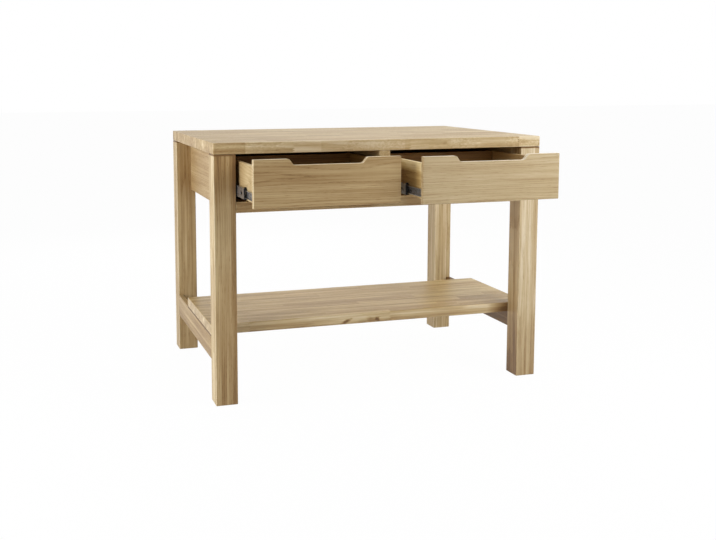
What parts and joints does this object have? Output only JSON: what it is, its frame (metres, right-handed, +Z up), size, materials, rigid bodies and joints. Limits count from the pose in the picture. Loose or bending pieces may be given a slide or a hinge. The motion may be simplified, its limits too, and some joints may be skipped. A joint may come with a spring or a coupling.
{
  "type": "kitchen island",
  "caption": "Free-standing oak kitchen island: thick worktop on square legs, inset drawers with finger notches on ball slides, and an open lower shelf.",
  "frame": {"origin": "on the floor, under the middle of the whole island as it stands with both drawers part open", "axes": "+X along the width to the right as seen from the drawers, +Y from the drawers towards the back, +Z up"},
  "size_m": [1.2, 1.065, 0.885],
  "materials": {
    "oak": "oiled solid oak staves",
    "birch_ply": "clear lacquered birch plywood",
    "beech": "plain beech dowel",
    "zinc_steel": "zinc-plated rolled steel",
    "cage_metal": "thin steel cage with steel balls",
    "black_plastic": "moulded black plastic"
  },
  "bodies": {
    "frame": {"worktop": "oak", "front_left_leg": "oak", "front_right_leg": "oak", "rear_left_leg": "oak", "rear_right_leg": "oak", "front_left_leg_dowel": "beech", "front_right_leg_dowel": "beech", "rear_left_leg_dowel": "beech", "rear_right_leg_dowel": "beech", "left_side_apron": "oak", "right_side_apron": "oak", "back_apron": "oak", "front_rail": "oak", "centre_divider": "oak", "dust_panel": "birch_ply", "left_stretcher": "oak", "right_stretcher": "oak", "lower_shelf": "oak", "shelf_dowel_front_left": "beech", "shelf_dowel_front_right": "beech", "shelf_dowel_rear_left": "beech", "shelf_dowel_rear_right": "beech", "left_drawer_left_slide_outer_member": "zinc_steel", "left_drawer_right_slide_outer_member": "zinc_steel", "right_drawer_left_slide_outer_member": "zinc_steel", "right_drawer_right_slide_outer_member": "zinc_steel"},
    "left_drawer": {"left_drawer_front": "oak", "left_drawer_left_side": "oak", "left_drawer_right_side": "oak", "left_drawer_back": "oak", "left_drawer_bottom": "birch_ply", "left_drawer_left_slide_inner_member": "zinc_steel", "left_drawer_right_slide_inner_member": "zinc_steel"},
    "left_drawer_left_runner": {"left_drawer_left_slide_middle_member": "zinc_steel", "left_drawer_left_slide_end_stop": "black_plastic"},
    "left_drawer_right_runner": {"left_drawer_right_slide_middle_member": "zinc_steel", "left_drawer_right_slide_end_stop": "black_plastic"},
    "left_drawer_left_outer_cage": {"left_drawer_left_slide_outer_ball_cage": "cage_metal"},
    "left_drawer_left_inner_cage": {"left_drawer_left_slide_inner_ball_cage": "cage_metal"},
    "left_drawer_right_outer_cage": {"left_drawer_right_slide_outer_ball_cage": "cage_metal"},
    "left_drawer_right_inner_cage": {"left_drawer_right_slide_inner_ball_cage": "cage_metal"},
    "right_drawer": {"right_drawer_front": "oak", "right_drawer_left_side": "oak", "right_drawer_right_side": "oak", "right_drawer_back": "oak", "right_drawer_bottom": "birch_ply", "right_drawer_left_slide_inner_member": "zinc_steel", "right_drawer_right_slide_inner_member": "zinc_steel"},
    "right_drawer_left_runner": {"right_drawer_left_slide_middle_member": "zinc_steel", "right_drawer_left_slide_end_stop": "black_plastic"},
    "right_drawer_right_runner": {"right_drawer_right_slide_middle_member": "zinc_steel", "right_drawer_right_slide_end_stop": "black_plastic"},
    "right_drawer_left_outer_cage": {"right_drawer_left_slide_outer_ball_cage": "cage_metal"},
    "right_drawer_left_inner_cage": {"right_drawer_left_slide_inner_ball_cage": "cage_metal"},
    "right_drawer_right_outer_cage": {"right_drawer_right_slide_outer_ball_cage": "cage_metal"},
    "right_drawer_right_inner_cage": {"right_drawer_right_slide_inner_ball_cage": "cage_metal"}
  },
  "joints": [
    {"name": "left_drawer_travel", "type": "slide", "parent": "frame", "child": "left_drawer", "axis": [0, -1, 0], "range_m": [-0.21, 0.19]},
    {"name": "left_drawer_left_runner_travel", "type": "slide", "parent": "frame", "child": "left_drawer_left_runner", "axis": [0, -1, 0], "range_m": [-0.126, 0.114]},
    {"name": "left_drawer_right_runner_travel", "type": "slide", "parent": "frame", "child": "left_drawer_right_runner", "axis": [0, -1, 0], "range_m": [-0.126, 0.114]},
    {"name": "left_drawer_left_outer_cage_travel", "type": "slide", "parent": "frame", "child": "left_drawer_left_outer_cage", "axis": [0, -1, 0], "range_m": [-0.063, 0.057]},
    {"name": "left_drawer_left_inner_cage_travel", "type": "slide", "parent": "frame", "child": "left_drawer_left_inner_cage", "axis": [0, -1, 0], "range_m": [-0.168, 0.152]},
    {"name": "left_drawer_right_outer_cage_travel", "type": "slide", "parent": "frame", "child": "left_drawer_right_outer_cage", "axis": [0, -1, 0], "range_m": [-0.063, 0.057]},
    {"name": "left_drawer_right_inner_cage_travel", "type": "slide", "parent": "frame", "child": "left_drawer_right_inner_cage", "axis": [0, -1, 0], "range_m": [-0.168, 0.152]},
    {"name": "right_drawer_travel", "type": "slide", "parent": "frame", "child": "right_drawer", "axis": [0, -1, 0], "range_m": [-0.265, 0.135]},
    {"name": "right_drawer_left_runner_travel", "type": "slide", "parent": "frame", "child": "right_drawer_left_runner", "axis": [0, -1, 0], "range_m": [-0.159, 0.081]},
    {"name": "right_drawer_right_runner_travel", "type": "slide", "parent": "frame", "child": "right_drawer_right_runner", "axis": [0, -1, 0], "range_m": [-0.159, 0.081]},
    {"name": "right_drawer_left_outer_cage_travel", "type": "slide", "parent": "frame", "child": "right_drawer_left_outer_cage", "axis": [0, -1, 0], "range_m": [-0.0795, 0.0405]},
    {"name": "right_drawer_left_inner_cage_travel", "type": "slide", "parent": "frame", "child": "right_drawer_left_inner_cage", "axis": [0, -1, 0], "range_m": [-0.212, 0.108]},
    {"name": "right_drawer_right_outer_cage_travel", "type": "slide", "parent": "frame", "child": "right_drawer_right_outer_cage", "axis": [0, -1, 0], "range_m": [-0.0795, 0.0405]},
    {"name": "right_drawer_right_inner_cage_travel", "type": "slide", "parent": "frame", "child": "right_drawer_right_inner_cage", "axis": [0, -1, 0], "range_m": [-0.212, 0.108]}
  ],
  "couplings": [
    {"joint": "left_drawer_left_runner_travel", "follows": "left_drawer_travel", "ratio": 0.6},
    {"joint": "left_drawer_right_runner_travel", "follows": "left_drawer_travel", "ratio": 0.6},
    {"joint": "left_drawer_left_outer_cage_travel", "follows": "left_drawer_travel", "ratio": 0.3},
    {"joint": "left_drawer_left_inner_cage_travel", "follows": "left_drawer_travel", "ratio": 0.8},
    {"joint": "left_drawer_right_outer_cage_travel", "follows": "left_drawer_travel", "ratio": 0.3},
    {"joint": "left_drawer_right_inner_cage_travel", "follows": "left_drawer_travel", "ratio": 0.8},
    {"joint": "right_drawer_left_runner_travel", "follows": "right_drawer_travel", "ratio": 0.6},
    {"joint": "right_drawer_right_runner_travel", "follows": "right_drawer_travel", "ratio": 0.6},
    {"joint": "right_drawer_left_outer_cage_travel", "follows": "right_drawer_travel", "ratio": 0.3},
    {"joint": "right_drawer_left_inner_cage_travel", "follows": "right_drawer_travel", "ratio": 0.8},
    {"joint": "right_drawer_right_outer_cage_travel", "follows": "right_drawer_travel", "ratio": 0.3},
    {"joint": "right_drawer_right_inner_cage_travel", "follows": "right_drawer_travel", "ratio": 0.8}
  ]
}
